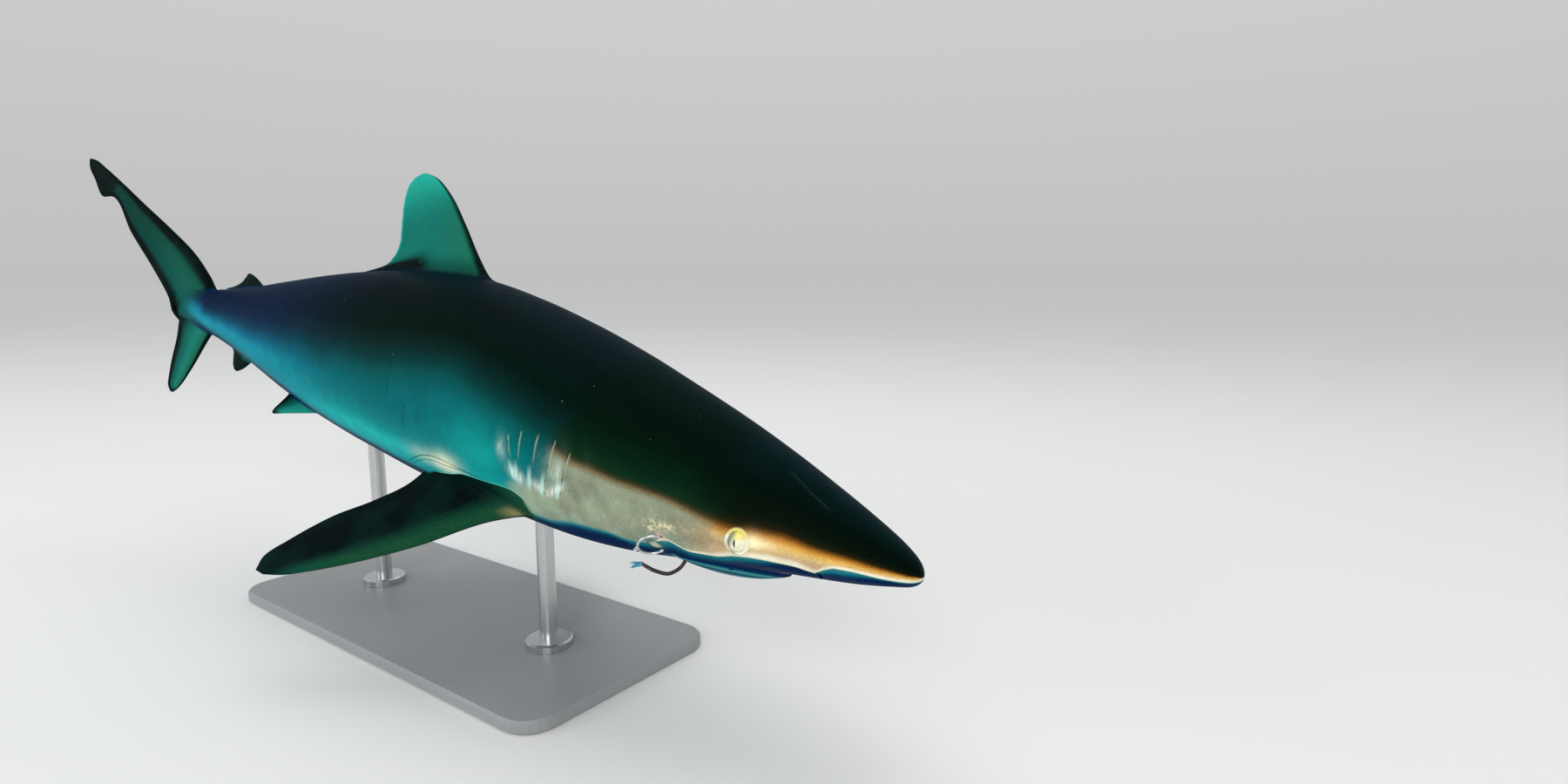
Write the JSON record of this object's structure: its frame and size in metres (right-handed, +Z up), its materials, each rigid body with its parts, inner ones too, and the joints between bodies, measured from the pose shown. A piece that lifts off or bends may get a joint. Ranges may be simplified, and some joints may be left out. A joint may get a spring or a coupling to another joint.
{
  "type": "silky shark",
  "caption": "Life-size still model of a slender silky shark swimming nose low, with fish hooks in the corner of its mouth, held up by rods on a flat base.",
  "frame": {"origin": "centre of the underside of the stand's base, on the surface it stands on", "axes": "+X the way the shark heads, +Z up, -Y on the shark's right"},
  "size_m": [2.1129, 0.5304, 0.8226],
  "materials": {
    "shark_skin": "fine, satin shark skin: green-black back, teal flank, pale belly, bronze sheen on the head",
    "shark_eye": "wet and glossy, pale yellow iris with an upright slit pupil",
    "bright_steel": "bright wire",
    "tarnished_steel": "dark, rust-stained wire",
    "blue_sleeve": "worn plastic, frayed at its end",
    "stand_paint": "satin grey paint on board",
    "stand_steel": "fine brushed"
  },
  "bodies": {
    "root": {"head": "shark_skin", "lower_jaw": "shark_skin", "gill_region": "shark_skin", "trunk_front": "shark_skin", "trunk_rear": "shark_skin", "tail_front": "shark_skin", "tail_stem": "shark_skin", "dorsal_fin_1": "shark_skin", "dorsal_fin_2": "shark_skin", "anal_fin": "shark_skin", "caudal_fin_upper": "shark_skin", "caudal_fin_lower": "shark_skin", "pectoral_fin_left": "shark_skin", "pectoral_fin_right": "shark_skin", "pelvic_fin_left": "shark_skin", "pelvic_fin_right": "shark_skin", "eye_left": "shark_eye", "eye_right": "shark_eye", "hook_circle": "bright_steel", "hook_shank": "tarnished_steel", "hook_sleeve": "blue_sleeve", "stand_base": "stand_paint", "stand_rod_front": "stand_steel", "stand_rod_rear": "stand_steel"}
  },
  "joints": []
}
